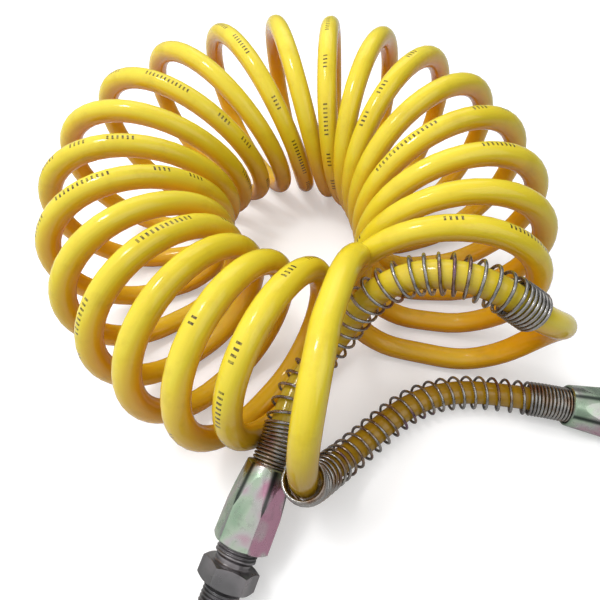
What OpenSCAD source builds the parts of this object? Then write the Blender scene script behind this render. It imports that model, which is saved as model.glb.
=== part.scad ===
// Coiled nylon air hose with a compression fitting and a spring guard at each end.
// The coil is laid round in an open ring on the floor and its two ends lie in front of it.

/* [Hose] */
// Outside diameter of the nylon tube
hose_d = 12; // [10:0.5:12]
// Wall thickness of the nylon tube
hose_wall = 1.5; // [1:0.25:2]
// Sides of the tube's cross-section in the coil
coil_sides = 6; // [6:2:8]
// Rings along each loop of the coil
coil_rings = 19; // [16:1:24]
// Sides of the tube's cross-section in the two free ends
tail_sides = 8; // [8:2:12]

/* [Coil] */
// Mean radius of one loop, measured at the middle of the tube
loop_r = 50; // [46:1:50]
// Distance from the ring's centre to the middle of its loops
ring_r = 100; // [100:1:110]
// Angle that the loops take up round the ring, in degrees
ring_sweep = 310; // [300:5:310]

/* [Spring guards] */
// Diameter of the spring wire
wire_d = 1.2; // [1:0.1:1.2]
// Space between the tube and the spring's wire
wire_gap = 1.6; // [1.4:0.1:1.8]
// Pitch of the curls that lie nearly closed at both ends of a guard
close_pitch = 2.05; // [2.05:0.05:2.2]
// Pitch of the open curls between them
open_pitch = 6.4; // [6:0.1:6.6]
// Curls of the guard on the end that comes forward between the loops
guard_a_curls = 40; // [38:1:44]
// Curls of the guard on the end that lies along the floor
guard_b_curls = 42; // [38:1:44]

/* [Fittings] */
// Width across the flats of the union nut
nut_af = 22; // [22:1:24]
// Length of the union nut
nut_len = 34; // [32:1:36]
// Width across the flats of the adapter's hexagon
adapter_af = 22; // [20:1:24]
// Thickness of the adapter's hexagon
adapter_hex_len = 8; // [6:1:10]
// Diameter of the thread that the nut screws on
union_thread_d = 18; // [18:0.5:18.5]
// Diameter of the port thread
port_thread_d = 16; // [14:1:18]
// Length of the port thread
port_thread_len = 12; // [9:1:16]
// Bore of the adapter
adapter_bore_d = 8; // [6:0.5:8]

/* [Hidden] */

$fn = 64;
hose_r = hose_d / 2;
bore_r = hose_r - hose_wall;
// The tube is pressed flat by a tenth of its diameter where it lies on the floor
flat_depth = hose_d / 10;
// Straight run at each end of the coil
straight_run = hose_d;

// ---- lay of the coil ----
// u counts the turns: a whole number is the top of a loop, a half is its bottom on the floor
first_turn = 1;
last_turn = 21.5;
middle_turn = 11;
half_turns = 10;
// Middle of the ring on the floor
ring_centre = [-24, -9, 0];
// Each list gives the cosine and sine waves once, then twice round the ring
loop_r_wave = [4, 4];
ring_angle_start = 149;
ring_angle_wave = [5.5, -6.5];
ring_r_wave = [25.5, 11.5, 5, 2.5];
// The loops lean along the ring and turn about the vertical as they lie on each other
yaw_mean = -5.5;
yaw_slope = -30;
yaw_wave = [-13, 27.5, 2, -2];
lean_mean = -7;
lean_wave = [-10.5, 4];
// The first loop stands apart where the other end of the hose passes over it
splay = 17.7;
splay_reach = 0.58;
first_loop_shift = [0.4, 11.3, 0];
shift_turn = 1.36;
shift_reach = 0.42;

// ---- places of the fittings ----
// Middle of the nut's rear face, heading seen from above and angle down to the floor
fitting_a_pos = [-39.6, -127.3, 29.2];
fitting_a_heading = 246;
fitting_a_dip = 20.5;
fitting_b_pos = [111, -93, 12.7];
fitting_b_heading = -14;
fitting_b_dip = 0;
// Clocking of each hexagon: 0 puts a corner straight down, 30 puts a flat straight down
nut_a_turn = 30;
nut_b_turn = 0;
adapter_a_turn = 12;
adapter_b_turn = 40;

// ---- routes of the free ends, from the coil to the fitting ----
route_a = [
    [70.5, -62, 7.4], [86.9, -64.8, 19], [96, -67.3, 39.6], [94.6, -76.7, 60.9], [83.8, -87.6, 74.9],
    [67.8, -90.3, 86.4], [54.1, -84.9, 95.8], [37.5, -76.9, 98.2], [19.3, -71.9, 92.4], [4.1, -71.5, 78.9],
    [-3.2, -73.1, 59.9], [-13.4, -80.1, 47.1], [-24, -89.4, 40.8], [-30.6, -100.5, 37.7], [-33.1, -108.9, 36.2]
];
route_b = [
    [-18.9, -111.7, 95.1], [-22.6, -126.4, 86.6], [-25.3, -137, 72.1], [-25.7, -141.2, 54.5], [-24, -138.6, 36.9],
    [-17.8, -130.3, 21.3], [-5.4, -118.5, 10.4], [11.5, -104.6, 8.2], [28, -92.1, 10.2], [45, -85, 10],
    [62, -83, 10], [79, -85, 10]
];
// Points on each stretch between two route points
tail_steps = 2;
guard_steps = 8;

// ---- stations along a fitting, from the nut's rear face towards the port ----
spring_seat_depth = 3.5;
tube_bore_end = 16;
ferrule_start = 17.5;
ferrule_len = 9;
ferrule_nose_len = 4;
ferrule_r = hose_r + 1;
shank_start = 23;
cone_len = 5;
tube_end = 35;
sleeve_len = 15;
sleeve_wall = 0.75;
flange_len = 1;
shank_end = nut_len + 4;
groove_len = 3;
hex_start = shank_end + groove_len;
hex_end = hex_start + adapter_hex_len;
port_groove_len = 2;
fitting_len = hex_end + port_thread_len;

// ---- clearances ----
thread_clearance = 0.05;
turning_clearance = 0.3;
socket_clearance = 0.1;
seat_clearance = 0.4;

// ---- the spring guards ----
guard_r = hose_r + wire_gap + wire_d / 2;
wire_sides = 4;
curl_rings = 6;
nut_end_curls = 11;
far_end_curls = 6;
taper_curls = 8;
taper_pitch = 3.4;
spring_start = 2.8;

steel = [0.72, 0.72, 0.7];
dark_steel = [0.45, 0.46, 0.47];
brass = [0.82, 0.66, 0.32];
nylon = [0.93, 0.78, 0.1];

// ================= functions =================

function unit(v) = v / norm(v);

// Waves once and twice round the ring, s runs from -1 to 1
function wave(w, s) = w[0] * cos(180 * s) + w[1] * sin(180 * s)
    + (len(w) > 2 ? w[2] * cos(360 * s) + w[3] * sin(360 * s) : 0);

// Centre of the loop at turn u, and the spoke from it to the middle of the tube
function coil_loop(u) =
    let (
        s = (u - middle_turn) / half_turns,
        r = loop_r + wave(loop_r_wave, s),
        from_first = (u - first_turn) / splay_reach,
        from_shift = (u - shift_turn) / shift_reach,
        angle = ring_angle_start + ring_sweep / 2 * s + wave(ring_angle_wave, s)
            + splay * (u - first_turn) * exp(-from_first * from_first),
        yaw = yaw_mean + yaw_slope * s + wave(yaw_wave, s),
        lean = lean_mean + wave(lean_wave, s),
        outward = [-sin(angle), -cos(angle), 0],
        along = [-cos(angle), sin(angle), 0],
        across = outward * cos(yaw) + along * sin(yaw)
    )
    [
        ring_centre + first_loop_shift * exp(-from_shift * from_shift)
            + outward * (ring_r + wave(ring_r_wave, s))
            + [0, 0, hose_r - flat_depth + r * cos(lean)],
        along * r * sin(lean) * cos(360 * u) - across * r * sin(360 * u)
            + [0, 0, r * cos(lean) * cos(360 * u)]
    ];

function coil_point(u) = let (loop = coil_loop(u)) loop[0] + loop[1];

function level(v) = unit([v[0], v[1], 0]);

// Direction of travel at the top of the first loop and on the floor after the last one
turn_step = 0.001;
coil_start_dir = level(coil_point(first_turn + turn_step) - coil_point(first_turn));
coil_end_dir = level(coil_point(last_turn + turn_step) - coil_point(last_turn));
coil_start = coil_point(first_turn) - straight_run * coil_start_dir;
coil_end = coil_point(last_turn) + straight_run * coil_end_dir;

// Cubic spline pulled towards its points, through its first and last one
function spline_point(a, b, c, d, t) =
    (pow(1 - t, 3) * a + (3 * t * t * t - 6 * t * t + 4) * b
    + (-3 * t * t * t + 3 * t * t + 3 * t + 1) * c + t * t * t * d) / 6;

function spline(p, steps) =
    let (last = len(p) - 1, q = concat([2 * p[0] - p[1]], p, [2 * p[last] - p[last - 1]]))
    concat(
        [for (i = [0:last - 1]) for (k = [0:steps - 1])
            spline_point(q[i], q[i + 1], q[i + 2], q[i + 3], k / steps)],
        [p[last]]
    );

function fitting_dir(heading, dip) =
    [cos(heading) * cos(dip), sin(heading) * cos(dip), -sin(dip)];

dir_a = fitting_dir(fitting_a_heading, fitting_a_dip);
dir_b = fitting_dir(fitting_b_heading, fitting_b_dip);

// A free end leaves the coil straight and comes straight into the nut
function tail_route(start, start_dir, route, pos, dir) =
    concat(
        [start, start + hose_r * start_dir],
        route,
        [pos - 2 * hose_r * dir, pos - hose_r * dir, pos]
    );

full_route_a = tail_route(coil_end, coil_end_dir, route_a, fitting_a_pos, dir_a);
full_route_b = tail_route(coil_start, -coil_start_dir, route_b, fitting_b_pos, dir_b);

// Directions along a path
function tangents(p) =
    [for (i = [0:len(p) - 1]) unit(p[min(i + 1, len(p) - 1)] - p[max(i - 1, 0)])];

// Side vectors carried along a path without twist
function first_side(t) = abs(t[2]) < 0.9 ? unit(cross(t, [0, 0, 1])) : unit(cross(t, [0, 1, 0]));

function carry(n, t) = unit(n - (n * t) * t);

function sides_along(t) = [
    for (i = 0, n = first_side(t[0]); i < len(t); i = i + 1, n = i < len(t) ? carry(n, t[i]) : n) n
];

// Length of a path up to each of its points
function lengths(p) = [
    for (i = 0, s = 0; i < len(p); i = i + 1, s = i < len(p) ? s + norm(p[i] - p[i - 1]) : s) s
];

// Value of a list of vectors at distance s along a path whose lengths are known
function table(lens, list, k) = [for (i = [0:len(lens) - 1]) [lens[i], list[i][k]]];
function at_length(tables, s) = [lookup(s, tables[0]), lookup(s, tables[1]), lookup(s, tables[2])];

// Points of a ring round each point of a path
function rings(p, t, side, r, sides, turn = 0) = [
    for (i = [0:len(p) - 1]) let (up = cross(t[i], side[i])) for (k = [0:sides - 1])
        p[i] + r * (side[i] * cos(turn + 360 * k / sides) + up * sin(turn + 360 * k / sides))
];

// Triangles that skin n rings of points
function tube_faces(n, sides) = concat(
    [for (i = [0:n - 2]) for (k = [0:sides - 1])
        [i * sides + k, i * sides + (k + 1) % sides, (i + 1) * sides + k]],
    [for (i = [0:n - 2]) for (k = [0:sides - 1])
        [(i + 1) * sides + k, i * sides + (k + 1) % sides, (i + 1) * sides + (k + 1) % sides]],
    [for (k = [1:sides - 2]) [0, k + 1, k]],
    [for (k = [1:sides - 2]) [(n - 1) * sides, (n - 1) * sides + k, (n - 1) * sides + k + 1]]
);

// ---- the coil's rings ----
coil_turns = last_turn - first_turn;
coil_steps = round(coil_turns * coil_rings);
coil_u = [for (i = [0:coil_steps]) first_turn + coil_turns * i / coil_steps];
coil_path = concat([coil_start], [for (u = coil_u) coil_point(u)], [coil_end]);
coil_spokes = [for (u = concat([first_turn], coil_u, [last_turn])) coil_loop(u)[1]];

// ---- the guards' curls ----
// Pitch of curl c, counted from the nut
function pitch_at(c, curls) =
    let (far_start = curls - far_end_curls, taper_start = far_start - taper_curls)
    c < nut_end_curls ? close_pitch
    : c < taper_start ? open_pitch
    : c < far_start ? open_pitch + (taper_pitch - open_pitch) * (c - taper_start) / taper_curls
    : close_pitch;

// Distance of each of the wire's rings from the start of the spring
function wire_travel(curls) = [
    for (i = 0, s = 0; i <= curls * curl_rings;
         i = i + 1, s = s + pitch_at((i - 1) / curl_rings, curls) / curl_rings) s
];

// Middle line of the wire: curls round the end of the hose, starting inside the nut
function wire_path(route, dir, curls) =
    let (
        pos = route[len(route) - 1],
        hose = spline(route, guard_steps),
        line = [for (i = [0:len(hose)]) i == 0 ? pos + spring_seat_depth * dir : hose[len(hose) - i]],
        lens = lengths(line),
        t = tangents(line),
        side = sides_along(t),
        place = [for (k = [0:2]) table(lens, line, k)],
        heading = [for (k = [0:2]) table(lens, t, k)],
        sideways = [for (k = [0:2]) table(lens, side, k)],
        travel = wire_travel(curls),
        first = spring_seat_depth - spring_start
    )
    [for (i = [0:len(travel) - 1])
        let (
            s = first + travel[i],
            ahead = unit(at_length(heading, s)),
            out = carry(at_length(sideways, s), ahead),
            turn = 360 * i / curl_rings
        )
        at_length(place, s) + guard_r * (out * cos(turn) + cross(ahead, out) * sin(turn))];

wire_a = wire_path(full_route_a, dir_a, guard_a_curls);
wire_b = wire_path(full_route_b, dir_b, guard_b_curls);

// ---- least gaps, measured between points of neighbouring turns ----
check_rings = 60;
check_reach = 6;
check_points = [for (i = [0:coil_turns * check_rings]) coil_point(first_turn + i / check_rings)];
coil_gap = min([
    for (i = [0:len(check_points) - check_rings - check_reach - 1])
        for (k = [check_rings - check_reach:check_rings + check_reach])
            norm(check_points[i] - check_points[i + k])
]) - hose_d;

function wire_gap_of(w) = min([
    for (i = [0:len(w) - curl_rings - 2]) for (k = [curl_rings - 1:curl_rings + 1]) norm(w[i] - w[i + k])
]) - wire_d;

// ================= shared shapes =================

// A tube along a path, pressed flat where it meets the floor
module tube(path, r, sides, turn = 0) {
    t = tangents(path);
    tube_skin(rings(path, t, sides_along(t), r, sides, turn), sides);
}

module tube_skin(points, sides) {
    polyhedron(
        points = [for (p = points) [p[0], p[1], max(p[2], 0)]],
        faces = tube_faces(len(points) / sides, sides),
        convexity = 10
    );
}

// Places a fitting's own axis, +Z towards the port, on the end of the hose
module on_fitting(pos, heading, dip) {
    translate(pos) rotate([0, 90 + dip, heading]) children();
}

module hexagon_bar(af, length, turn) {
    rotate([0, 0, turn]) cylinder(d = af / cos(30), h = length, $fn = 6);
}

// ================= the hose =================

module hose_coil() {
    t = tangents(coil_path);
    outward = [for (i = [0:len(t) - 1]) carry(coil_spokes[i], t[i])];
    color(nylon) tube_skin(rings(coil_path, t, outward, hose_r, coil_sides, 180 / coil_sides), coil_sides);
}

module hose_tail(route, pos, dir) {
    path = concat(spline(route, tail_steps), [pos + tube_end * dir]);
    color(nylon) tube(path, hose_r, tail_sides);
}

module hose_tail_a() {
    difference() {
        hose_tail(full_route_a, fitting_a_pos, dir_a);
        on_fitting(fitting_a_pos, fitting_a_heading, fitting_a_dip) sleeve_space();
    }
}

module hose_tail_b() {
    difference() {
        hose_tail(full_route_b, fitting_b_pos, dir_b);
        on_fitting(fitting_b_pos, fitting_b_heading, fitting_b_dip) sleeve_space();
    }
}

// Bore of the tube where the support sleeve sits
module sleeve_space() {
    translate([0, 0, tube_end - sleeve_len]) cylinder(r = bore_r, h = sleeve_len + 1);
}

module spring_guard_a() {
    color(dark_steel) tube(wire_a, wire_d / 2, wire_sides, 45);
}

module spring_guard_b() {
    color(dark_steel) tube(wire_b, wire_d / 2, wire_sides, 45);
}

// ================= the compression fittings =================

// Long hexagon whose rear is turned down to a round collar that holds the spring
module union_nut(turn) {
    corner_r = nut_af / 2 / cos(30);
    collar_r = nut_af / 2 - 0.5;
    cone_end = nut_len * 0.6;
    chamfer = 1.2;
    difference() {
        intersection() {
            hexagon_bar(nut_af, nut_len, turn);
            rotate_extrude() polygon([
                [0, 0], [collar_r - 0.5, 0], [collar_r, 0.6], [corner_r + 0.1, cone_end],
                [corner_r + 0.1, nut_len - chamfer], [corner_r - 2 * chamfer, nut_len], [0, nut_len]
            ]);
        }
        nut_inside();
    }
}

// Spring seat, tube bore, ferrule seat and thread bore in one turned profile
module nut_inside() {
    seat_r = guard_r + wire_d / 2 + seat_clearance;
    tube_r = hose_r + turning_clearance;
    pocket_r = ferrule_r + turning_clearance;
    thread_r = union_thread_d / 2 + thread_clearance;
    rotate_extrude() polygon([
        [0, -1], [seat_r, -1], [seat_r, spring_seat_depth], [tube_r, spring_seat_depth],
        [tube_r, tube_bore_end], [pocket_r, tube_bore_end + 1], [pocket_r, shank_start - 1.5],
        [thread_r, shank_start - 0.5], [thread_r, nut_len + 1], [0, nut_len + 1]
    ]);
}

// Brass olive that bites on the tube
module ferrule() {
    color(brass) translate([0, 0, ferrule_start]) rotate_extrude() polygon([
        [hose_r, 0], [ferrule_r - 0.4, 0], [ferrule_r, 0.5],
        [ferrule_r, ferrule_len - ferrule_nose_len], [hose_r + 0.35, ferrule_len], [hose_r, ferrule_len]
    ]);
}

// Thin brass sleeve with a flange that keeps the tube's end round
module support_sleeve() {
    color(brass) translate([0, 0, tube_end - sleeve_len]) rotate_extrude() polygon([
        [bore_r - sleeve_wall, 0], [bore_r - 0.2, 0], [bore_r, 0.5], [bore_r, sleeve_len],
        [hose_r - 0.1, sleeve_len], [hose_r - 0.1, sleeve_len + flange_len],
        [bore_r - sleeve_wall, sleeve_len + flange_len]
    ]);
}

// Double-ended male adapter: union thread, hexagon and port thread round one bore
module adapter(turn) {
    shank_r = union_thread_d / 2;
    port_r = port_thread_d / 2;
    groove_depth = 1.2;
    end_chamfer = 1;
    corner_r = adapter_af / 2 / cos(30);
    hex_chamfer = 0.9;
    difference() {
        union() {
            rotate_extrude() polygon([
                [0, shank_start], [shank_r - end_chamfer, shank_start],
                [shank_r, shank_start + end_chamfer], [shank_r, shank_end],
                [shank_r - groove_depth, shank_end + groove_depth],
                [shank_r - groove_depth, hex_start + 1], [0, hex_start + 1]
            ]);
            intersection() {
                translate([0, 0, hex_start]) hexagon_bar(adapter_af, adapter_hex_len, turn);
                translate([0, 0, hex_start]) rotate_extrude() polygon([
                    [0, 0], [corner_r - 2 * hex_chamfer, 0], [corner_r + 0.1, hex_chamfer],
                    [corner_r + 0.1, adapter_hex_len - hex_chamfer],
                    [corner_r - 2 * hex_chamfer, adapter_hex_len], [0, adapter_hex_len]
                ]);
            }
            rotate_extrude() polygon([
                [0, hex_end - 1], [port_r - groove_depth, hex_end - 1],
                [port_r - groove_depth, hex_end + port_groove_len - groove_depth],
                [port_r, hex_end + port_groove_len], [port_r, fitting_len - end_chamfer],
                [port_r - end_chamfer, fitting_len], [0, fitting_len]
            ]);
        }
        adapter_inside();
    }
}

// Cone for the olive, socket for the tube's end and the air bore
module adapter_inside() {
    socket_r = hose_r + socket_clearance;
    cone_r = ferrule_r + turning_clearance;
    socket_end = tube_end + flange_len + 0.2;
    air_r = adapter_bore_d / 2;
    rotate_extrude() polygon([
        [0, shank_start - 1], [cone_r, shank_start - 1], [cone_r, shank_start],
        [socket_r, shank_start + cone_len], [socket_r, socket_end], [air_r, socket_end],
        [air_r, fitting_len + 1], [0, fitting_len + 1]
    ]);
}

module union_nut_a() {
    color(steel) on_fitting(fitting_a_pos, fitting_a_heading, fitting_a_dip) union_nut(nut_a_turn);
}

module union_nut_b() {
    color(steel) on_fitting(fitting_b_pos, fitting_b_heading, fitting_b_dip) union_nut(nut_b_turn);
}

module ferrule_a() {
    on_fitting(fitting_a_pos, fitting_a_heading, fitting_a_dip) ferrule();
}

module ferrule_b() {
    on_fitting(fitting_b_pos, fitting_b_heading, fitting_b_dip) ferrule();
}

module support_sleeve_a() {
    on_fitting(fitting_a_pos, fitting_a_heading, fitting_a_dip) support_sleeve();
}

module support_sleeve_b() {
    on_fitting(fitting_b_pos, fitting_b_heading, fitting_b_dip) support_sleeve();
}

module adapter_a() {
    color(dark_steel) on_fitting(fitting_a_pos, fitting_a_heading, fitting_a_dip) adapter(adapter_a_turn);
}

module adapter_b() {
    color(dark_steel) on_fitting(fitting_b_pos, fitting_b_heading, fitting_b_dip) adapter(adapter_b_turn);
}

echo(least_gap_in_the_coil = coil_gap);
echo(least_gap_in_guard_a = wire_gap_of(wire_a));
echo(least_gap_in_guard_b = wire_gap_of(wire_b));

hose_coil();
hose_tail_a();
hose_tail_b();
spring_guard_a();
spring_guard_b();
union_nut_a();
union_nut_b();
ferrule_a();
ferrule_b();
support_sleeve_a();
support_sleeve_b();
adapter_a();
adapter_b();
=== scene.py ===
"""Visual model of the coiled air hose, built round the CAD frame."""
import math

import bpy
import numpy as np
from mathutils import Matrix, Vector


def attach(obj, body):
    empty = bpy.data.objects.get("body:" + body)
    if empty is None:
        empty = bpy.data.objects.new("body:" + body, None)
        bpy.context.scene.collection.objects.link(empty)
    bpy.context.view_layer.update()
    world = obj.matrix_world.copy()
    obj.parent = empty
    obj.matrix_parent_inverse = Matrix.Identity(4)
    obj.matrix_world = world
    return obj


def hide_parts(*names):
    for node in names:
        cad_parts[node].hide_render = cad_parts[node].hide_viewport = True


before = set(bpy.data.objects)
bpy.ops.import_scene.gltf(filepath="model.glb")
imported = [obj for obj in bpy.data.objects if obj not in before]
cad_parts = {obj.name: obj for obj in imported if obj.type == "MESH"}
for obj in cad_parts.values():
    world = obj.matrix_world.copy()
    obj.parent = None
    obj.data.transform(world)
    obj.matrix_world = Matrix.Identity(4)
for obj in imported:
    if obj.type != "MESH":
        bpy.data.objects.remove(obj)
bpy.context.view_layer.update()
MM = 0.001


# ======================= the lay, as in part.scad, in millimetres =======================

HOSE_R = 6.0
FLAT_DEPTH = 1.2
STRAIGHT_RUN = 12.0
FIRST_TURN, LAST_TURN, MIDDLE_TURN, HALF_TURNS = 1.0, 21.5, 11.0, 10.0
RING_CENTRE = np.array([-24.0, -9.0, 0.0])
LOOP_R, RING_R, RING_SWEEP, RING_ANGLE_START = 50.0, 100.0, 310.0, 149.0
LOOP_R_WAVE = (4, 4)
RING_ANGLE_WAVE = (5.5, -6.5)
RING_R_WAVE = (25.5, 11.5, 5, 2.5)
YAW_MEAN, YAW_SLOPE, YAW_WAVE = -5.5, -30.0, (-13, 27.5, 2, -2)
LEAN_MEAN, LEAN_WAVE = -7.0, (-10.5, 4)
SPLAY, SPLAY_REACH = 17.7, 0.58
FIRST_LOOP_SHIFT, SHIFT_TURN, SHIFT_REACH = np.array([0.4, 11.3, 0.0]), 1.36, 0.42

# Middle of each nut's rear face, heading seen from above and angle down to the floor
POS_A, HEADING_A, DIP_A = np.array([-39.6, -127.3, 29.2]), 246.0, 20.5
POS_B, HEADING_B, DIP_B = np.array([111.0, -93.0, 12.7]), -14.0, 0.0
ROUTE_A = [
    (70.5, -62, 7.4), (86.9, -64.8, 19), (96, -67.3, 39.6), (94.6, -76.7, 60.9),
    (83.8, -87.6, 74.9), (67.8, -90.3, 86.4), (54.1, -84.9, 95.8), (37.5, -76.9, 98.2),
    (19.3, -71.9, 92.4), (4.1, -71.5, 78.9), (-3.2, -73.1, 59.9), (-13.4, -80.1, 47.1),
    (-24, -89.4, 40.8), (-30.6, -100.5, 37.7), (-33.1, -108.9, 36.2),
]
ROUTE_B = [
    (-18.9, -111.7, 95.1), (-22.6, -126.4, 86.6), (-25.3, -137, 72.1), (-25.7, -141.2, 54.5),
    (-24, -138.6, 36.9), (-17.8, -130.3, 21.3), (-5.4, -118.5, 10.4), (11.5, -104.6, 8.2),
    (28, -92.1, 10.2), (45, -85, 10), (62, -83, 10), (79, -85, 10),
]

# Points of the visible line: on each loop, and between two points of a route
TURN_POINTS = 48
ROUTE_STEPS = 8
# Stations on the straight runs, from the end of the coil and from the nut's rear face
COIL_LEADS = (4, 8)
IN_FITTING = (7, 15, 25, 35.0)
# Space under the hose and the guards where they lie on the floor
FLOOR_GAP = 0.02


def cosd(a):
    return math.cos(math.radians(a))


def sind(a):
    return math.sin(math.radians(a))


def unit(v):
    return v / np.linalg.norm(v)


def wave(w, s):
    """Waves once and twice round the ring; s runs from -1 to about 1."""
    once = w[0] * cosd(180 * s) + w[1] * sind(180 * s)
    return once + (w[2] * cosd(360 * s) + w[3] * sind(360 * s) if len(w) > 2 else 0)


def coil_loop(u):
    """Centre of the loop at turn u, and the spoke from it to the middle of the tube."""
    s = (u - MIDDLE_TURN) / HALF_TURNS
    r = LOOP_R + wave(LOOP_R_WAVE, s)
    near = (u - FIRST_TURN) / SPLAY_REACH
    angle = RING_ANGLE_START + RING_SWEEP / 2 * s + wave(RING_ANGLE_WAVE, s)
    angle += SPLAY * (u - FIRST_TURN) * math.exp(-near * near)
    yaw = YAW_MEAN + YAW_SLOPE * s + wave(YAW_WAVE, s)
    lean = LEAN_MEAN + wave(LEAN_WAVE, s)
    outward = np.array([-sind(angle), -cosd(angle), 0])
    along = np.array([-cosd(angle), sind(angle), 0])
    across = outward * cosd(yaw) + along * sind(yaw)
    up = np.array([0, 0, r * cosd(lean)])
    moved = (u - SHIFT_TURN) / SHIFT_REACH
    centre = RING_CENTRE + FIRST_LOOP_SHIFT * math.exp(-moved * moved)
    centre = centre + outward * (RING_R + wave(RING_R_WAVE, s)) + up
    centre = centre + np.array([0, 0, HOSE_R - FLAT_DEPTH])
    spoke = along * r * sind(lean) * cosd(360 * u) - across * r * sind(360 * u)
    return centre, spoke + up * cosd(360 * u)


def coil_point(u):
    centre, spoke = coil_loop(u)
    return centre + spoke


def level_heading(u):
    step = coil_point(u + 0.001) - coil_point(u)
    return unit(np.array([step[0], step[1], 0]))


def spline(points, steps):
    """Uniform cubic B-spline through its first and last points."""
    p = np.array(points, float)
    q = np.vstack([2 * p[0] - p[1], p, 2 * p[-1] - p[-2]])
    out = []
    for i in range(len(p) - 1):
        a, b, c, d = q[i:i + 4]
        for t in np.arange(steps) / steps:
            out.append(((1 - t) ** 3 * a + (3 * t ** 3 - 6 * t * t + 4) * b
                        + (-3 * t ** 3 + 3 * t * t + 3 * t + 1) * c + t ** 3 * d) / 6)
    return np.array(out + [p[-1]])


def fitting_dir(heading, dip):
    return np.array([cosd(heading) * cosd(dip), sind(heading) * cosd(dip), -sind(dip)])


def tail_route(start, start_dir, route, pos, heading):
    """Route of a free end, straight out of the coil and straight into the fitting."""
    return [start, start + HOSE_R * start_dir, *map(np.array, route),
            pos - 2 * HOSE_R * heading, pos - HOSE_R * heading, pos]


DIR_A, DIR_B = fitting_dir(HEADING_A, DIP_A), fitting_dir(HEADING_B, DIP_B)
START_DIR, END_DIR = level_heading(FIRST_TURN), level_heading(LAST_TURN)
COIL_START = coil_point(FIRST_TURN) - STRAIGHT_RUN * START_DIR
COIL_END = coil_point(LAST_TURN) + STRAIGHT_RUN * END_DIR
FULL_ROUTE_A = tail_route(COIL_END, END_DIR, ROUTE_A, POS_A, DIR_A)
FULL_ROUTE_B = tail_route(COIL_START, -START_DIR, ROUTE_B, POS_B, DIR_B)


def lifted(points):
    """Where the CAD tube is pressed flat on the floor, the round one is lifted to touch it."""
    p = np.array(points, float)
    low = HOSE_R + FLOOR_GAP
    p[:, 2] = low + np.logaddexp(0, p[:, 2] - low)
    return p


def coil_turns():
    return np.linspace(LAST_TURN, FIRST_TURN, int((LAST_TURN - FIRST_TURN) * TURN_POINTS) + 1)


def hose_line():
    """Middle of the hose from fitting A through the coil to fitting B."""
    return lifted(np.vstack([
        [POS_A + DIR_A * k for k in reversed(IN_FITTING)],
        spline(FULL_ROUTE_A, ROUTE_STEPS)[::-1],
        [COIL_END - END_DIR * k for k in COIL_LEADS],
        [coil_point(u) for u in coil_turns()],
        [COIL_START + START_DIR * k for k in reversed(COIL_LEADS)],
        spline(FULL_ROUTE_B, ROUTE_STEPS),
        [POS_B + DIR_B * k for k in IN_FITTING],
    ]))


# ======================= camera =======================

CAMERA_POINT = Vector((-25.31, -195.06, 228.9)) * MM
CAMERA_ELEVATION = 51.07
CAMERA_ROLL = -0.94
FOCAL_PX, IMAGE_PX, SENSOR_MM = 448.84, 600, 36.0


def make_camera():
    data = bpy.data.cameras.new("camera")
    data.sensor_width = SENSOR_MM
    data.lens = FOCAL_PX / IMAGE_PX * SENSOR_MM
    camera = bpy.data.objects.new("camera", data)
    bpy.context.scene.collection.objects.link(camera)
    turn = Matrix.Rotation(math.radians(90 - CAMERA_ELEVATION), 4, "X")
    roll = Matrix.Rotation(math.radians(CAMERA_ROLL), 4, "Z")
    camera.matrix_world = Matrix.Translation(CAMERA_POINT) @ turn @ roll
    bpy.context.scene.camera = camera


make_camera()


# ======================= mesh helpers =======================

def tangents(p):
    ahead = np.vstack([p[1:], p[-1:]])
    behind = np.vstack([p[:1], p[:-1]])
    t = ahead - behind
    return t / np.linalg.norm(t, axis=1)[:, None]


def carried_sides(t, first=None):
    """Side vectors carried along a path without twist."""
    n = np.cross(t[0], [0, 0, 1]) if first is None else np.array(first, float)
    out = []
    for heading in t:
        n = unit(n - (n @ heading) * heading)
        out.append(n)
    return np.array(out)


def lengths(p):
    return np.concatenate([[0], np.cumsum(np.linalg.norm(np.diff(p, axis=0), axis=1))])


def skin(name, rows, caps=False, closed_rows=False, uv=None):
    """A mesh over a grid of rows x columns of points, closed round each row.
    uv gives the two coordinates by row and by column, with one extra for each seam."""
    rows = np.array(rows, float)
    n, m = rows.shape[:2]
    faces = []
    for i in range(n if closed_rows else n - 1):
        j = (i + 1) % n
        for k in range(m):
            beside = (k + 1) % m
            faces.append((i * m + k, i * m + beside, j * m + beside, j * m + k))
    grid_faces = len(faces)
    if caps:
        faces.append(tuple(range(m - 1, -1, -1)))
        faces.append(tuple((n - 1) * m + k for k in range(m)))
    mesh = bpy.data.meshes.new(name)
    mesh.from_pydata((rows.reshape(-1, 3) * MM).tolist(), [], faces)
    mesh.polygons.foreach_set("use_smooth", [True] * len(faces))
    if uv is not None:
        layer = mesh.uv_layers.new(name="UVMap")
        data = []
        for f in range(grid_faces):
            i, k = divmod(f, m)
            for a, b in ((i, k), (i, k + 1), (i + 1, k + 1), (i + 1, k)):
                data.extend((uv[0][a], uv[1][b]))
        data.extend([0.0, 0.0] * sum(len(cap) for cap in faces[grid_faces:]))
        layer.data.foreach_set("uv", data)
    obj = bpy.data.objects.new(name, mesh)
    bpy.context.scene.collection.objects.link(obj)
    return obj


def tube(name, line, radius, sides, side_vectors=None):
    """A capped round tube along a line. UV is (metres along, turns around)."""
    t = tangents(line)
    n = carried_sides(t) if side_vectors is None else side_vectors
    b = np.cross(t, n)
    a = np.arange(sides) * 2 * math.pi / sides
    ring = n[:, None, :] * np.cos(a)[None, :, None] + b[:, None, :] * np.sin(a)[None, :, None]
    rows = line[:, None, :] + ring * radius
    uv = (lengths(line) * MM, np.arange(sides + 1) / sides)
    return skin(name, rows, caps=True, uv=uv)


def fitting_matrix(pos, heading, dip):
    place = Matrix.Translation(Vector(pos) * MM)
    return place @ Matrix.Rotation(math.radians(heading), 4, "Z") @ Matrix.Rotation(
        math.radians(90 + dip), 4, "Y")


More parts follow.
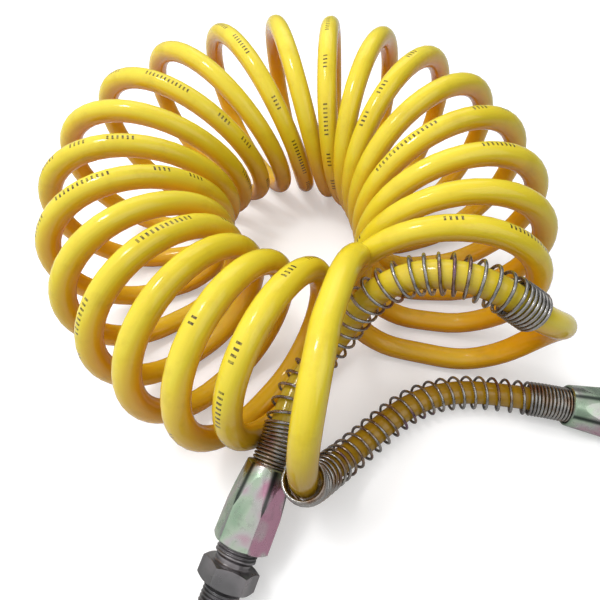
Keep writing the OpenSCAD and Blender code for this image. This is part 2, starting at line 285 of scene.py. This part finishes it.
FITTING = {
    "a": fitting_matrix(POS_A, HEADING_A, DIP_A),
    "b": fitting_matrix(POS_B, HEADING_B, DIP_B),
}


def on_fitting(obj, end):
    """Puts a piece made along +Z on the end of the hose, in its mesh."""
    obj.data.transform(FITTING[end])
    obj.data.update()
    return obj


# ======================= node helpers =======================

def new_material(name):
    mat = bpy.data.materials.new(name)
    mat.use_nodes = True
    return mat, mat.node_tree, mat.node_tree.nodes["Principled BSDF"]


def add(nt, kind, **settings):
    node = nt.nodes.new(kind)
    for key, value in settings.items():
        if key in node.inputs:
            node.inputs[key].default_value = value
        else:
            setattr(node, key, value)
    return node


def feed(nt, socket, value):
    """Links a node's output to a socket, or sets the socket to a number or a colour."""
    if isinstance(value, (int, float)):
        socket.default_value = value
    elif isinstance(value, tuple):
        socket.default_value = (*value, 1.0)
    else:
        nt.links.new(value, socket)


def parts(nt, vector):
    """X, Y and Z of a vector."""
    node = add(nt, "ShaderNodeSeparateXYZ")
    nt.links.new(vector, node.inputs[0])
    return node.outputs["X"], node.outputs["Y"], node.outputs["Z"]


def noise(nt, vector, scale, detail=3.0, rough=0.5, distortion=0.0):
    node = add(nt, "ShaderNodeTexNoise", Scale=scale, Detail=detail, Roughness=rough,
               Distortion=distortion)
    nt.links.new(vector, node.inputs["Vector"])
    return node.outputs["Fac"]


def ramp(nt, value, stops):
    node = add(nt, "ShaderNodeValToRGB")
    elements = node.color_ramp.elements
    while len(elements) < len(stops):
        elements.new(0.5)
    for element, (at, colour) in zip(elements, stops):
        element.position = at
        element.color = (*colour, 1.0)
    nt.links.new(value, node.inputs["Fac"])
    return node.outputs["Color"]


def math_node(nt, operation, a, b=None):
    node = add(nt, "ShaderNodeMath", operation=operation)
    feed(nt, node.inputs[0], a)
    if b is not None:
        feed(nt, node.inputs[1], b)
    return node.outputs[0]


def product(nt, first, *others):
    for other in others:
        first = math_node(nt, "MULTIPLY", first, other)
    return first


def total(nt, first, *others):
    for other in others:
        first = math_node(nt, "ADD", first, other)
    return first


def distance(nt, value, middle):
    """How far a number lies from the middle, on either side."""
    return math_node(nt, "ABSOLUTE", math_node(nt, "SUBTRACT", value, middle))


def span(nt, value, low, high, to_low, to_high):
    node = add(nt, "ShaderNodeMapRange")
    for key, x in (("From Min", low), ("From Max", high), ("To Min", to_low), ("To Max", to_high)):
        node.inputs[key].default_value = x
    nt.links.new(value, node.inputs["Value"])
    return node.outputs["Result"]


def lean_towards(nt, vector, direction):
    node = add(nt, "ShaderNodeVectorMath", operation="DOT_PRODUCT")
    nt.links.new(vector, node.inputs[0])
    node.inputs[1].default_value = direction
    return node.outputs["Value"]


def mix(nt, fac, a, b):
    node = add(nt, "ShaderNodeMix", data_type="RGBA")
    for index, value in ((0, fac), (6, a), (7, b)):
        feed(nt, node.inputs[index], value)
    return node.outputs[2]


def bump(nt, height, depth, strength=1.0, normal=None):
    node = add(nt, "ShaderNodeBump", Strength=strength, Distance=depth)
    nt.links.new(height, node.inputs["Height"])
    if normal is not None:
        nt.links.new(normal, node.inputs["Normal"])
    return node.outputs["Normal"]


# ======================= materials =======================
# Colours are linear, noise scales are per metre and bump depths are in metres

NYLON_TONES = [(0.3, (0.62, 0.485, 0.018)), (0.55, (0.66, 0.54, 0.034)),
               (0.75, (0.70, 0.59, 0.055))]
# Colour of the painted shade inside the loops, on the underside and low down
AMBER_PAINTED_SHADE = (0.77, 0.315, 0.0)
# Colour of the painted shadow on the hose under the guards
GUARD_SHADOW_NYLON = (0.34, 0.19, 0.008)
HOSE_GRIME = (0.36, 0.22, 0.012)
INK = (0.05, 0.03, 0.012)
# Painted shade: the hose turns amber from its floor side up to this height
PAINTED_SHADE_HEIGHT = 0.085
# Painted shadow on the stretches under the guards: how strong each is, and where it fades, in
# metres from its end of the hose
GUARD_SHADOW_A, GUARD_SHADOW_A_FADE = 0.35, (0.185, 0.235)
GUARD_SHADOW_B, GUARD_SHADOW_B_FADE = 1.0, (0.215, 0.245)
# Print marks: the step from stroke to stroke, the strokes that stand or are left out
# together, the repeat of the whole row, its inked share and where it starts
PRINT_STEP, PRINT_GROUP = 0.0022, 4
PRINT_REPEAT, PRINT_SHARE, PRINT_SHIFT = 0.73, 0.52, 0.38
STROKE_SHARE, BARE_SHARE, STROKE_HEIGHT = 0.42, 0.58, 0.034

WIRE_TONES = [(0.30, (0.20, 0.19, 0.19)), (0.50, (0.40, 0.39, 0.37)),
              (0.60, (0.27, 0.18, 0.12)), (0.70, (0.20, 0.12, 0.18))]
ZINC_TONES = [(0.25, (0.24, 0.24, 0.24)), (0.38, (0.31, 0.43, 0.31)), (0.47, (0.43, 0.52, 0.41)),
              (0.54, (0.49, 0.475, 0.465)), (0.67, (0.49, 0.26, 0.35))]
STEEL_TONES = [(0.25, (0.13, 0.13, 0.13)), (0.5, (0.21, 0.205, 0.21)),
               (0.75, (0.30, 0.28, 0.29))]
BRASS_TONES = [(0.35, (0.62, 0.42, 0.14)), (0.65, (0.80, 0.60, 0.26))]
METAL_DIRT = (0.13, 0.12, 0.12)
# Painted shade in dark wedges at the cut corners of the nuts' cones: how dark, and where each
# fades out, in sixths of a turn from the corner
WEDGE_PAINTED_SHADE, WEDGE_DEPTH, WEDGE_FADE = (0.035, 0.045, 0.04), 0.92, (0.04, 0.14)
# Painted reflection: the plating's tint drifts from the side that faces away from here to the side
# that faces it
REFLECTION_TINT_DIRECTION = (0.85, -0.30, 0.43)


def nylon_material(length):
    """Glossy yellow polyamide with painted shade: amber inside the loops, on its underside and low
    down, and darker under the guards as painted shadow; with faint extrusion lines, grime and a
    row of print marks."""
    mat, nt, bsdf = new_material("nylon")
    coord = add(nt, "ShaderNodeTexCoord")
    spot = coord.outputs["Object"]
    broad = noise(nt, spot, 14.0, 2.0)
    fine = noise(nt, spot, 420.0, 3.0)
    along, around, _ = parts(nt, coord.outputs["UV"])
    *_, facing_up = parts(nt, coord.outputs["Normal"])
    *_, height = parts(nt, spot)
    # Painted shade: amber inside each loop, on the underside and towards the floor, mixed with a
    # random wash
    inner_painted_shade = product(nt, distance(nt, around, 0.5), 0.9)
    underside_painted_shade = product(nt, facing_up, -0.45)
    wash = product(nt, math_node(nt, "SUBTRACT", broad, 0.5), 0.6)
    # Painted shade that grows towards the floor
    low = span(nt, height, 0.0, PAINTED_SHADE_HEIGHT, 0.26, -0.03)
    shade = span(nt, total(nt, inner_painted_shade, underside_painted_shade, wash, low), -0.14, 0.64, 0.0, 1.0)
    colour = mix(nt, shade, ramp(nt, broad, NYLON_TONES), AMBER_PAINTED_SHADE)
    # Painted shadow on the hose under each guard
    guard_shadow_a = span(nt, along, *GUARD_SHADOW_A_FADE, GUARD_SHADOW_A, 0.0)
    start_b, end_b = (length - k for k in reversed(GUARD_SHADOW_B_FADE))
    guard_shadow_b = span(nt, along, start_b, end_b, 0.0, GUARD_SHADOW_B)
    colour = mix(nt, total(nt, guard_shadow_a, guard_shadow_b), colour, GUARD_SHADOW_NYLON)
    grime = span(nt, noise(nt, spot, 60.0, 4.0, 0.65), 0.52, 0.75, 0.0, 0.3)
    colour = mix(nt, grime, colour, HOSE_GRIME)
    rubbed = span(nt, noise(nt, spot, 900.0, 2.0), 0.35, 0.6, 0.55, 1.0)
    ink = product(nt, print_marks(nt, along, around), rubbed)
    nt.links.new(mix(nt, ink, colour, INK), bsdf.inputs["Base Color"])
    nt.links.new(span(nt, fine, 0.3, 0.7, 0.09, 0.16), bsdf.inputs["Roughness"])
    stretched = add(nt, "ShaderNodeCombineXYZ")
    nt.links.new(product(nt, along, 6.0), stretched.inputs[0])
    nt.links.new(product(nt, around, 40.0), stretched.inputs[1])
    lines = bump(nt, noise(nt, stretched.outputs[0], 1.0, 1.0), 0.00006)
    nt.links.new(bump(nt, fine, 0.00002, normal=lines), bsdf.inputs["Normal"])
    bsdf.inputs["IOR"].default_value = 1.53
    bsdf.inputs["Subsurface Weight"].default_value = 0.12
    bsdf.inputs["Subsurface Radius"].default_value = (1.0, 0.5, 0.08)
    bsdf.inputs["Subsurface Scale"].default_value = 0.002
    return mat


def print_marks(nt, along, around):
    """Plain dark ticks in a row along the hose: groups of even strokes, repeated with long bare
    stretches between."""
    tick = math_node(nt, "FRACT", math_node(nt, "DIVIDE", along, PRINT_STEP))
    stroke = math_node(nt, "LESS_THAN", tick, STROKE_SHARE)
    cell = math_node(nt, "FLOOR", math_node(nt, "DIVIDE", along, PRINT_STEP * PRINT_GROUP))
    chance = add(nt, "ShaderNodeTexWhiteNoise", noise_dimensions="1D")
    nt.links.new(total(nt, cell, 7.5), chance.inputs["W"])
    group = math_node(nt, "GREATER_THAN", chance.outputs["Value"], BARE_SHARE)
    place = math_node(nt, "DIVIDE", total(nt, along, PRINT_SHIFT), PRINT_REPEAT)
    row = math_node(nt, "LESS_THAN", math_node(nt, "FRACT", place), PRINT_SHARE)
    in_row = math_node(nt, "LESS_THAN", distance(nt, around, 0.5), STROKE_HEIGHT)
    return product(nt, stroke, group, row, in_row)


def wire_material():
    """Drawn spring wire, tempered to bronze and violet in places."""
    mat, nt, bsdf = new_material("spring_wire")
    spot = add(nt, "ShaderNodeTexCoord").outputs["Object"]
    grain = noise(nt, spot, 1500.0, 2.0)
    colour = ramp(nt, noise(nt, spot, 55.0, 3.0, 0.6), WIRE_TONES)
    nt.links.new(colour, bsdf.inputs["Base Color"])
    nt.links.new(span(nt, grain, 0.3, 0.7, 0.16, 0.30), bsdf.inputs["Roughness"])
    nt.links.new(bump(nt, grain, 0.00003), bsdf.inputs["Normal"])
    bsdf.inputs["Metallic"].default_value = 1.0
    return mat


def plated_material(name, tones, low_rough, high_rough, wedges=False):
    """Plated steel whose tint drifts in blotches and shifts with the way each side faces, as
    painted reflection, with small knocks. With wedges, the cut corners of a nut's cone are
    darkened with painted shade: UV is (on the cone, angle in sixths of a turn)."""
    mat, nt, bsdf = new_material(name)
    coord = add(nt, "ShaderNodeTexCoord")
    spot = coord.outputs["Object"]
    drift = noise(nt, spot, 70.0, 2.0, 0.4, 0.4)
    # Painted reflection: the tint leans by the way each side faces
    painted_reflection_lean = lean_towards(nt, coord.outputs["Normal"], REFLECTION_TINT_DIRECTION)
    tint = total(nt, drift, span(nt, painted_reflection_lean, -1.0, 1.0, -0.16, 0.12))
    dirt = span(nt, noise(nt, spot, 260.0, 4.0, 0.65), 0.55, 0.75, 0.0, 0.35)
    colour = mix(nt, dirt, ramp(nt, tint, tones), METAL_DIRT)
    if wedges:
        on_cone, sixths, _ = parts(nt, coord.outputs["UV"])
        # The corners lie at whole sixths; 6.5 brings them to 0.5 and keeps the number positive
        off_corner = distance(nt, math_node(nt, "FRACT", total(nt, sixths, 6.5)), 0.5)
        # Painted shade in the cut corners of the cone
        painted_wedge_shade = product(nt, span(nt, off_corner, *WEDGE_FADE, WEDGE_DEPTH, 0.0), on_cone)
        colour = mix(nt, painted_wedge_shade, colour, WEDGE_PAINTED_SHADE)
    nt.links.new(colour, bsdf.inputs["Base Color"])
    smear = noise(nt, spot, 120.0, 4.0, 0.6)
    nt.links.new(span(nt, smear, 0.3, 0.7, low_rough, high_rough), bsdf.inputs["Roughness"])
    dents = bump(nt, noise(nt, spot, 210.0, 2.0), 0.00010, 0.6)
    grain = noise(nt, spot, 1100.0, 2.0)
    nt.links.new(bump(nt, grain, 0.00003, normal=dents), bsdf.inputs["Normal"])
    bsdf.inputs["Metallic"].default_value = 1.0
    return mat


def brass_material():
    mat, nt, bsdf = new_material("brass")
    spot = add(nt, "ShaderNodeTexCoord").outputs["Object"]
    nt.links.new(ramp(nt, noise(nt, spot, 90.0, 3.0), BRASS_TONES), bsdf.inputs["Base Color"])
    rough = span(nt, noise(nt, spot, 700.0), 0.3, 0.7, 0.2, 0.34)
    nt.links.new(rough, bsdf.inputs["Roughness"])
    bsdf.inputs["Metallic"].default_value = 1.0
    return mat


WIRE = wire_material()
ZINC = plated_material("zinc_plate", ZINC_TONES, 0.18, 0.34, wedges=True)
STEEL = plated_material("dark_plate", STEEL_TONES, 0.24, 0.42)
BRASS = brass_material()


def finish_piece(obj, material, slot, body, *nodes):
    obj.data.materials.clear()
    obj.data.materials.append(material)
    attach(obj, body)
    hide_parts(*nodes)


# ======================= the hose =======================

HOSE_SIDES = 24
LINE = hose_line()
HOSE_LENGTH = lengths(LINE)[-1] * MM


def print_sides():
    """Side vectors of the hose that keep the row of print marks on the outside of each loop."""
    t = tangents(LINE)
    turns = coil_turns()
    first = len(IN_FITTING) + (len(FULL_ROUTE_A) - 1) * ROUTE_STEPS + 1 + len(COIL_LEADS)
    last = first + len(turns)
    inward = np.array([-unit(coil_loop(u)[1]) for u in turns])
    middle = np.array([unit(n - (n @ d) * d) for n, d in zip(inward, t[first:last])])
    before = carried_sides(t[:first + 1][::-1], middle[0])[::-1]
    after = carried_sides(t[last - 1:], middle[-1])
    return np.vstack([before[:-1], middle, after[1:]])


hose = tube("hose", LINE, HOSE_R, HOSE_SIDES, print_sides())
finish_piece(hose, nylon_material(HOSE_LENGTH), "nylon_hose", "hose",
             "hose_coil", "hose_tail_a", "hose_tail_b")


# ======================= the spring guards =======================

# From the middle of the hose to the middle of the wire
GUARD_R = 8.2
WIRE_R = 0.72
WIRE_SIDES = 10
# Depth of the seat in the nut, and the middle of the first curl from the seat's floor
SPRING_SEAT, GUARD_START = 3.5, 0.9
# Stretches of each guard from the nut: length along the hose and pitch
GUARD_A = [(23.25, 1.62), (96.0, 6.4), (39.2, 4.9), (12.3, 1.75)]
GUARD_B = [(23.25, 1.62), (108.8, 6.4), (39.2, 4.9), (12.3, 1.75)]
# Length over which the pitch changes from one stretch to the next
PITCH_CHANGE = 6.0
# Points of the wire on each curl, and of the hose's line between two points of its route
CURL_POINTS, GUARD_STEPS = 24, 10


def guard_line(route, heading, pos, stretches):
    """Middle of the wire, wound round the free end from the seat in the nut. The pitch changes
    smoothly from each stretch to the next."""
    line = np.vstack([[pos + SPRING_SEAT * heading], spline(route, GUARD_STEPS)[::-1]])
    lens = lengths(line)
    t = tangents(line)
    n = carried_sides(t)
    ends = np.cumsum([length for length, _ in stretches])
    pitches = [pitch for _, pitch in stretches]

    def at(values, s):
        return np.array([np.interp(s, lens, values[:, k]) for k in range(3)])

    s, turn, out = GUARD_START, 0.0, []
    while s < ends[-1]:
        ahead = unit(at(t, s))
        side = at(n, s)
        side = unit(side - (side @ ahead) * ahead)
        spoke = side * math.cos(turn) + np.cross(ahead, side) * math.sin(turn)
        out.append(at(line, s) + GUARD_R * spoke)
        pitch = pitches[0]
        for start, before, after in zip(ends, pitches, pitches[1:]):
            share = min(1.0, max(0.0, (s - start + PITCH_CHANGE / 2) / PITCH_CHANGE))
            pitch += (after - before) * share * share * (3 - 2 * share)
        s += pitch / CURL_POINTS
        turn += 2 * math.pi / CURL_POINTS
    return np.array(out)


for end, route, heading, pos, stretches in (
        ("a", FULL_ROUTE_A, DIR_A, POS_A, GUARD_A), ("b", FULL_ROUTE_B, DIR_B, POS_B, GUARD_B)):
    wire = guard_line(route, heading, pos, stretches)
    wire[:, 2] = np.maximum(wire[:, 2], WIRE_R + FLOOR_GAP)
    guard = tube("spring_" + end, wire, WIRE_R, WIRE_SIDES)
    finish_piece(guard, WIRE, "spring_steel", "hose", "spring_guard_" + end)


# ======================= fittings: shared outlines =======================
# Radii, and stations in millimetres from the nut's rear face towards the port

# Space for the point just beside each turned edge, which rounds it in shading
SOFT_EDGE = 0.15


def hex_columns(af, fillet, turn, across):
    """Angles and radii of a hexagon with rounded corners, the first of them at turn, as in
    OpenSCAD. Each flat has as many columns as across says, with its ends."""
    corner = af / 2 / cosd(30)
    cut = corner - fillet * (1 / cosd(30) - 1)
    reach = math.degrees(math.atan2(af / 2 * math.tan(math.radians(30)) - fillet * 0.577, af / 2))
    gap = 30 - reach
    angles, radii = [], []
    for k in range(6):
        for a in (-1, -0.5, 0, 0.5, 1):
            flat_r = af / 2 / cosd(30 - abs(a) * gap)
            angles.append(60 * k + a * gap + turn)
            radii.append(cut + (flat_r - cut) * a * a)
        for a in np.linspace(-reach, reach, across)[1:-1]:
            angles.append(60 * k + 30 + a + turn)
            radii.append(af / 2 / cosd(a))
    return np.array(angles), np.array(radii)


def ring_at(angles, radii, z):
    a = np.radians(angles)
    radii = np.broadcast_to(radii, a.shape)
    z = np.broadcast_to(z, a.shape)
    return np.stack([radii * np.cos(a), radii * np.sin(a), z], axis=1)


def softened(path):
    """Adds a point just before and after each corner of an (r, z) path."""
    p = np.array(path, float)
    out = [p[0]]
    for a, b in zip(p[:-1], p[1:]):
        d = np.linalg.norm(b - a)
        e = min(SOFT_EDGE, d / 3)
        out += [a + (b - a) * e / d, b - (b - a) * e / d, b]
    return np.array(out)


def turned(angles, path):
    """Rows of a round surface through an (r, z) path."""
    return [ring_at(angles, r, z) for r, z in softened(path)]


# ======================= union nuts =======================

NUT_AF, NUT_LEN, NUT_FILLET, NUT_CHAMFER = 22.0, 34.0, 0.5, 1.2
NUT_FLAT_COLUMNS = 9
REAR_R, REAR_CHAMFER = 10.0, 0.6
COLLAR_R, NUT_CONE_END = NUT_AF / 2 - 0.5, NUT_LEN * 0.6
TUBE_HOLE_R, TUBE_HOLE_END = 6.3, 16.0
SEAT_R, SEAT_RIM_R, SEAT_RIM_DEPTH = 8.95, 9.35, 0.5
FERRULE_ROOM_R, FERRULE_ROOM_START, FERRULE_ROOM_END = 7.3, 17.0, 21.5
NUT_THREAD_R, NUT_THREAD_START = 9.12, 22.6
MOUTH_R, MOUTH_ROOT_R, MOUTH_DEPTH = 9.9, 9.15, 0.8
# Where the rows of each zone lie, as shares of its length
CONE_SHARES = (0.12, 0.3, 0.5, 0.7, 0.86, 0.96, 0.99)
FLAT_SHARES = (0.0, 0.02, 0.12, 0.3, 0.5, 0.75, 0.95, 0.99, 1.0)
CHAMFER_SHARES = (0.04, 0.5, 0.96, 1.0)


def union_nut(name, turn):
    """Long hexagon whose turned rear is a cone that cuts the corners to points, and whose front
    is a mouth with a plain bore at the thread's size."""
    angles, hexagon = hex_columns(NUT_AF, NUT_FILLET, turn, NUT_FLAT_COLUMNS)
    corner = NUT_AF / 2 / cosd(30)
    slope = (corner + 0.1 - COLLAR_R) / (NUT_CONE_END - REAR_CHAMFER)
    rows = turned(angles, [
        (TUBE_HOLE_R, TUBE_HOLE_END), (TUBE_HOLE_R, SPRING_SEAT), (SEAT_R, SPRING_SEAT),
        (SEAT_R, SEAT_RIM_DEPTH), (SEAT_RIM_R, 0.0), (REAR_R, 0.0), (COLLAR_R, REAR_CHAMFER)])
    # On the cone, up to where each column meets its flat
    cone_rise = (hexagon - COLLAR_R) / slope
    first_cone_row = len(rows) - 1
    for share in CONE_SHARES:
        rise = cone_rise * share
        rows.append(ring_at(angles, COLLAR_R + rise * slope, REAR_CHAMFER + rise))
    after_cone_row = len(rows)
    meets = REAR_CHAMFER + cone_rise
    # On the flats, up to the chamfer that rounds off the front of the corners
    face = corner - 2 * NUT_CHAMFER
    front = NUT_LEN - (hexagon - face) / (2 * NUT_CHAMFER + 0.1) * NUT_CHAMFER
    front = np.minimum(front, NUT_LEN)
    for share in FLAT_SHARES:
        rows.append(ring_at(angles, hexagon, meets + (front - meets) * share))
    for share in CHAMFER_SHARES:
        r = hexagon + (face - hexagon) * share
        rows.append(ring_at(angles, r, front + (NUT_LEN - front) * share))
    rows += turned(angles, [(face, NUT_LEN), (MOUTH_R, NUT_LEN),
                            (MOUTH_ROOT_R, NUT_LEN - MOUTH_DEPTH)])[1:]
    rows += turned(angles, [
        (NUT_THREAD_R, NUT_LEN - 0.9), (NUT_THREAD_R, NUT_THREAD_START),
        (FERRULE_ROOM_R, FERRULE_ROOM_END), (FERRULE_ROOM_R, FERRULE_ROOM_START)])
    on_cone = [float(first_cone_row <= i < after_cone_row) for i in range(len(rows) + 1)]
    sixths = (np.append(angles, angles[0] + 360) - turn) / 60
    return skin(name, rows, closed_rows=True, uv=(on_cone, sixths))


for end, turn in (("a", 30), ("b", 0)):
    nut = on_fitting(union_nut("nut_" + end, turn), end)
    finish_piece(nut, ZINC, "zinc_plated_steel", "nut_" + end, "union_nut_" + end)


# ======================= adapters =======================

ADAPTER_AF, ADAPTER_FILLET, ADAPTER_CHAMFER = 22.0, 0.4, 0.9
ADAPTER_FLAT_COLUMNS = 7
SHANK_START, SHANK_END, HEX_START, HEX_END, FITTING_LEN = 23.0, 38.0, 41.0, 49.0, 61.0
BORE_R = 4.0
SOCKET_R, SOCKET_END, CONE_R, CONE_END = 6.1, 36.2, 7.3, 28.0
UNION_THREAD_R, UNION_THREAD_START, UNION_THREAD_END = 8.99, 24.2, 37.6
PORT_THREAD_R, PORT_THREAD_START, PORT_THREAD_END = 7.99, HEX_END + 2.2, FITTING_LEN - 1
THREAD_DEPTH, THREAD_PITCH, ROWS_A_PITCH = 0.9, 1.5, 12
UNION_GROOVE_R, PORT_GROOVE_R = 7.8, 6.8


def thread_rows(angles, z_from, z_to, r, fade):
    """Rows of a right-hand thread that fades in and out at its ends."""
    rows = []
    for z in np.arange(z_from, z_to + 1e-6, THREAD_PITCH / ROWS_A_PITCH):
        phase = (z / THREAD_PITCH - angles / 360) % 1
        tooth = np.clip(np.abs(phase * 2 - 1) * 1.35 - 0.14, 0, 1)
        grow = max(0.0, min(1.0, (z - z_from) / fade, (z_to - z) / fade))
        rows.append(ring_at(angles, r - THREAD_DEPTH * grow * tooth, z))
    return rows


def adapter(name, turn):
    """Union thread, relief groove, chamfered hexagon, port groove and port thread on one bore."""
    angles, hexagon = hex_columns(ADAPTER_AF, ADAPTER_FILLET, turn, ADAPTER_FLAT_COLUMNS)
    rows = turned(angles, [
        (BORE_R, FITTING_LEN - 1), (BORE_R, SOCKET_END), (SOCKET_R, SOCKET_END),
        (SOCKET_R, CONE_END), (CONE_R, SHANK_START), (7.9, SHANK_START), (8.9, SHANK_START + 1)])
    rows += thread_rows(angles, UNION_THREAD_START, UNION_THREAD_END, UNION_THREAD_R, fade=1.2)
    rows += turned(angles, [
        (UNION_THREAD_R, SHANK_END - 0.2), (8.6, SHANK_END), (UNION_GROOVE_R, SHANK_END + 0.9),
        (UNION_GROOVE_R, HEX_START - 0.4), (8.2, HEX_START)])
    # The hexagon: a chamfer up from the round face, the flats, and a chamfer down again
    face = ADAPTER_AF / 2 / cosd(30) - 2 * ADAPTER_CHAMFER
    rise = (hexagon - face) / (2 * ADAPTER_CHAMFER + 0.1) * ADAPTER_CHAMFER
    rise = np.maximum(rise, 0.0)
    ease = np.minimum(hexagon, face)
    rows.append(ring_at(angles, ease * 0.9, HEX_START))
    rows.append(ring_at(angles, ease * 0.99, HEX_START))
    for share in (0.0, 0.05, 0.5, 0.95, 1.0):
        rows.append(ring_at(angles, ease + (hexagon - ease) * share, HEX_START + rise * share))
    low, high = HEX_START + rise, HEX_END - rise
    for share in (0.02, 0.1, 0.5, 0.9, 0.98, 1.0):
        rows.append(ring_at(angles, hexagon, low + (high - low) * share))
    for share in (0.95, 0.5, 0.05, 0.0):
        rows.append(ring_at(angles, ease + (hexagon - ease) * share, HEX_END - rise * share))
    rows.append(ring_at(angles, ease * 0.99, HEX_END))
    rows += turned(angles, [
        (8.0, HEX_END), (PORT_GROOVE_R, HEX_END + 0.4), (PORT_GROOVE_R, HEX_END + 1.2),
        (7.7, HEX_END + 2.1)])
    rows += thread_rows(angles, PORT_THREAD_START, PORT_THREAD_END, PORT_THREAD_R, fade=0.9)
    rows += turned(angles, [
        (7.9, FITTING_LEN - 0.9), (7.0, FITTING_LEN), (BORE_R + 0.5, FITTING_LEN),
        (BORE_R, FITTING_LEN - 0.5)])
    return skin(name, rows, closed_rows=True)


for end, turn in (("a", 12), ("b", 40)):
    piece = on_fitting(adapter("adapter_" + end + "_body", turn), end)
    finish_piece(piece, STEEL, "dark_steel", "fitting_" + end, "adapter_" + end)

# Pieces inside the fittings keep their CAD shape
for node in ("ferrule_a", "ferrule_b", "support_sleeve_a", "support_sleeve_b"):
    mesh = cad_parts[node].data
    mesh.materials.clear()
    mesh.materials.append(BRASS)


# ======================= floor and light =======================

FLOOR_HALF_SIZE, FLOOR_DROP = 40.0, 0.0001
# Tone of the floor for the camera and for the light it throws back, and a glow that only the
# camera sees
FLOOR_SEEN, FLOOR_LIT, FLOOR_GLOW = 0.72, 0.48, 0.34
# Brightness of the world for the camera, and for the hose from its dim to its bright side
WORLD_SEEN, WORLD_LOW, WORLD_HIGH = 0.84, 0.17, 1.02
WORLD_DIRECTION = (-0.62, -0.10, 0.78)
LIGHT_TARGET = Vector((0, 0, 0.05))
# Place, width and height, watts, and whether the light shows in reflections
LIGHTS = {
    "key": ((-0.55, 0.12, 1.05), (0.9, 0.8), 10.2, False),
    "spark": ((-0.40, 0.0, 0.98), (0.16, 0.16), 1.9, True),
    "window": ((-0.55, 0.12, 1.05), (0.9, 0.8), 2.0, True),
    "fill": ((0.65, -0.55, 0.8), (0.9, 0.9), 2.2, True),
    "back": ((0.1, 0.85, 1.1), (1.2, 0.7), 2.2, True),
}


def seen_directly(nt, seen, otherwise):
    """A number that has one value for what the camera sees and another for what lights."""
    direct = add(nt, "ShaderNodeLightPath").outputs["Is Camera Ray"]
    node = add(nt, "ShaderNodeMix", data_type="FLOAT")
    for index, value in ((0, direct), (2, otherwise), (3, seen)):
        feed(nt, node.inputs[index], value)
    return node.outputs[0]


def make_floor():
    """Pale paper that throws less light back on the hose than it shows."""
    mesh = bpy.data.meshes.new("floor")
    h = FLOOR_HALF_SIZE
    mesh.from_pydata([(-h, -h, 0), (h, -h, 0), (h, h, 0), (-h, h, 0)], [], [(0, 1, 2, 3)])
    floor = bpy.data.objects.new("floor", mesh)
    bpy.context.scene.collection.objects.link(floor)
    floor.location.z = -FLOOR_DROP
    mat, nt, bsdf = new_material("floor_paper")
    spot = add(nt, "ShaderNodeTexCoord").outputs["Object"]
    level = span(nt, noise(nt, spot, 3.0), 0.3, 0.7, 0.96, 1.0)
    back = product(nt, level, seen_directly(nt, FLOOR_SEEN, FLOOR_LIT))
    tone = add(nt, "ShaderNodeCombineColor")
    for channel in tone.inputs:
        nt.links.new(back, channel)
    nt.links.new(tone.outputs[0], bsdf.inputs["Base Color"])
    bsdf.inputs["Roughness"].default_value = 0.9
    bsdf.inputs["Specular IOR Level"].default_value = 0.0
    bsdf.inputs["Emission Color"].default_value = (1, 1, 1, 1)
    nt.links.new(seen_directly(nt, FLOOR_GLOW, 0.0), bsdf.inputs["Emission Strength"])
    mesh.materials.append(mat)


def make_world():
    """A dim studio, lighter from the left and from above."""
    world = bpy.data.worlds.new("studio")
    bpy.context.scene.world = world
    world.use_nodes = True
    nt = world.node_tree
    direction = add(nt, "ShaderNodeTexCoord").outputs["Generated"]
    lean = lean_towards(nt, direction, WORLD_DIRECTION)
    level = span(nt, lean, -0.1, 1.0, WORLD_LOW, WORLD_HIGH)
    background = nt.nodes["Background"].inputs
    nt.links.new(seen_directly(nt, WORLD_SEEN, level), background["Strength"])
    background["Color"].default_value = (1, 1, 1, 1)


def area_light(name, at, size, power, mirrored):
    data = bpy.data.lights.new(name, "AREA")
    data.shape = "RECTANGLE"
    data.size, data.size_y = size
    data.energy = power
    light = bpy.data.objects.new(name, data)
    bpy.context.scene.collection.objects.link(light)
    light.visible_glossy = mirrored
    aim = (LIGHT_TARGET - Vector(at)).to_track_quat("-Z", "Y")
    light.matrix_world = Matrix.Translation(at) @ aim.to_matrix().to_4x4()


make_floor()
make_world()
for name, settings in LIGHTS.items():
    area_light(name, *settings)

bpy.context.scene.view_settings.view_transform = "Standard"
